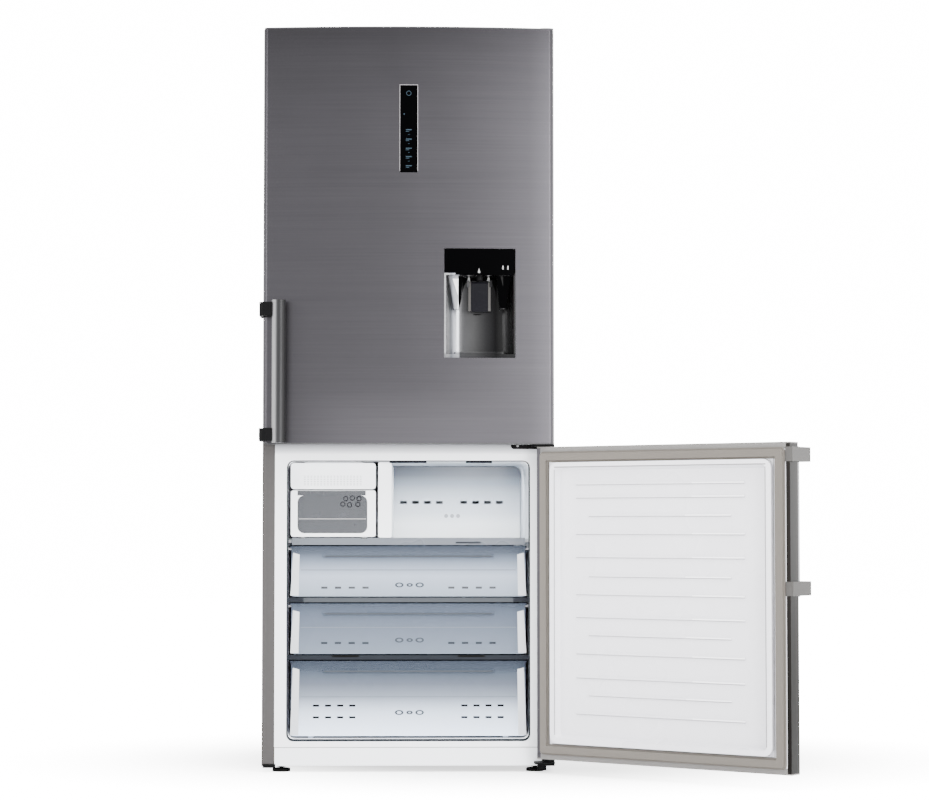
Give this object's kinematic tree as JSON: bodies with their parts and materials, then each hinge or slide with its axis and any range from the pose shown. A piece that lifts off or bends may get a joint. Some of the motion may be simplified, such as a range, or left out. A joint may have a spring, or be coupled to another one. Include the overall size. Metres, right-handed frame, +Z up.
{
  "type": "fridge freezer",
  "caption": "Upright fridge freezer with bowed steel doors, a water dispenser, a touch display, an ice maker and clear freezer drawers.",
  "frame": {"origin": "on the floor under the middle of the cabinet, halfway between its front face and its back", "axes": "+X to the right of a person facing the doors, +Y from the doors to the back, +Z up"},
  "size_m": [1.2599, 1.1082, 1.798],
  "materials": {
    "steel_door": "fine brushed stainless steel",
    "grey_sheet": "satin grey coil coating",
    "zinc_sheet": "galvanised sheet",
    "black_frame": "black powder coat",
    "foam": "rigid polyurethane foam",
    "white_liner": "glossy vacuum-formed liner",
    "white_plastic": "satin moulded plastic",
    "black_plastic": "satin moulded plastic",
    "black_gloss": "high gloss",
    "silver_plastic": "metallised plastic",
    "bright_steel": "polished steel",
    "compressor_black": "black enamel",
    "coil_aluminium": "bare fins",
    "clear_plastic": "clear polystyrene",
    "clear_glass": "toughened glass",
    "smoke_window": "tinted clear plastic",
    "seal_rubber": "soft magnetic seal",
    "roller_plastic": "hard nylon"
  },
  "bodies": {
    "cabinet": {"outer_wrapper": "grey_sheet", "back_panel": "zinc_sheet", "base_frame": "black_frame", "foam_insulation": "foam", "fridge_liner": "white_liner", "freezer_liner": "white_liner", "centre_rail": "white_plastic", "kick_panel": "white_plastic", "top_hinge": "zinc_sheet", "top_hinge_cover": "black_plastic", "middle_hinge": "black_frame", "bottom_hinge": "black_frame", "hinge_screws": "bright_steel", "compressor": "compressor_black", "condenser": "coil_aluminium", "drain_tray": "black_plastic", "compressor_cover": "black_plastic", "evaporator": "coil_aluminium", "evaporator_cover": "white_plastic", "fridge_air_duct": "white_plastic", "fridge_lamp": "clear_plastic", "fridge_shelf_glass": "clear_glass", "fridge_shelf_trims": "silver_plastic", "freezer_shelf_glass": "clear_glass", "freezer_shelf_trim": "silver_plastic", "ice_maker_housing": "white_plastic", "compartment_divider": "white_plastic"},
    "upper_door": {"upper_door_skin": "steel_door", "upper_door_liner": "white_liner", "upper_door_caps": "black_plastic", "upper_door_gasket": "seal_rubber", "upper_door_bins": "clear_plastic", "display_panel": "black_gloss", "dispenser_panel": "black_gloss", "dispenser_housing": "silver_plastic", "dispenser_drip_tray": "silver_plastic", "dispenser_nozzle": "black_plastic", "upper_handle_bar": "bright_steel", "upper_handle_brackets": "black_plastic"},
    "freezer_door": {"freezer_door_skin": "steel_door", "freezer_door_liner": "white_liner", "freezer_door_caps": "black_plastic", "freezer_door_gasket": "seal_rubber", "freezer_handle_bar": "bright_steel", "freezer_handle_brackets": "black_plastic"},
    "ice_bin": {"ice_bin": "white_plastic", "ice_bin_window": "smoke_window"},
    "front_left_foot": {"front_left_foot": "black_plastic"},
    "front_right_foot": {"front_right_foot": "black_plastic"},
    "rear_left_roller": {"rear_left_roller": "roller_plastic"},
    "rear_right_roller": {"rear_right_roller": "roller_plastic"},
    "condenser_fan": {"condenser_fan": "black_plastic"},
    "freezer_fan": {"freezer_fan": "white_plastic"},
    "crisper_left": {"crisper_left": "clear_plastic"},
    "crisper_right": {"crisper_right": "clear_plastic"},
    "ice_tray": {"ice_tray": "white_plastic"},
    "freezer_drawer_upper": {"freezer_drawer_upper": "clear_plastic"},
    "freezer_drawer_middle": {"freezer_drawer_middle": "clear_plastic"},
    "freezer_drawer_lower": {"freezer_drawer_lower": "clear_plastic"},
    "dispenser_lever": {"dispenser_lever": "black_plastic"}
  },
  "joints": [
    {"name": "upper_door_hinge", "type": "hinge", "parent": "cabinet", "child": "upper_door", "pos_m": [0.33, -0.35, 1.28], "axis": [0, 0, 1], "range_deg": [0, 115]},
    {"name": "freezer_door_hinge", "type": "hinge", "parent": "cabinet", "child": "freezer_door", "pos_m": [0.33, -0.35, 0.4], "axis": [0, 0, 1], "range_deg": [-141.9, 3.1]},
    {"name": "upper_drawer_slide", "type": "slide", "parent": "cabinet", "child": "freezer_drawer_upper", "axis": [0, -1, 0], "range_m": [0, 0.3]},
    {"name": "middle_drawer_slide", "type": "slide", "parent": "cabinet", "child": "freezer_drawer_middle", "axis": [0, -1, 0], "range_m": [0, 0.3]},
    {"name": "lower_drawer_slide", "type": "slide", "parent": "cabinet", "child": "freezer_drawer_lower", "axis": [0, -1, 0], "range_m": [0, 0.24]},
    {"name": "ice_bin_slide", "type": "slide", "parent": "cabinet", "child": "ice_bin", "axis": [0, -1, 0], "range_m": [0, 0.2]},
    {"name": "left_crisper_slide", "type": "slide", "parent": "cabinet", "child": "crisper_left", "axis": [0, -1, 0], "range_m": [0, 0.045]},
    {"name": "right_crisper_slide", "type": "slide", "parent": "cabinet", "child": "crisper_right", "axis": [0, -1, 0], "range_m": [0, 0.045]},
    {"name": "ice_tray_twist", "type": "hinge", "parent": "cabinet", "child": "ice_tray", "pos_m": [-0.181, -0.14, 0.705], "axis": [0, 1, 0], "range_deg": [0, 150]},
    {"name": "dispenser_lever_hinge", "type": "hinge", "parent": "upper_door", "child": "dispenser_lever", "pos_m": [0.1695, -0.352, 1.166], "axis": [1, 0, 0], "range_deg": [0, 9], "stiffness_Nm_per_rad": 0.12},
    {"name": "left_foot_turn", "type": "hinge", "parent": "cabinet", "child": "front_left_foot", "pos_m": [-0.304, -0.29, 0.02], "axis": [0, 0, 1], "continuous": true},
    {"name": "right_foot_turn", "type": "hinge", "parent": "cabinet", "child": "front_right_foot", "pos_m": [0.304, -0.29, 0.02], "axis": [0, 0, 1], "continuous": true},
    {"name": "left_roller_spin", "type": "hinge", "parent": "cabinet", "child": "rear_left_roller", "pos_m": [-0.265, 0.27, 0.014], "axis": [1, 0, 0], "continuous": true},
    {"name": "right_roller_spin", "type": "hinge", "parent": "cabinet", "child": "rear_right_roller", "pos_m": [0.265, 0.27, 0.014], "axis": [1, 0, 0], "continuous": true},
    {"name": "condenser_fan_spin", "type": "hinge", "parent": "cabinet", "child": "condenser_fan", "pos_m": [-0.02, 0.2135, 0.116], "axis": [1, 0, 0], "continuous": true},
    {"name": "freezer_fan_spin", "type": "hinge", "parent": "cabinet", "child": "freezer_fan", "pos_m": [0.1, 0.222, 0.684], "axis": [0, 1, 0], "continuous": true}
  ]
}
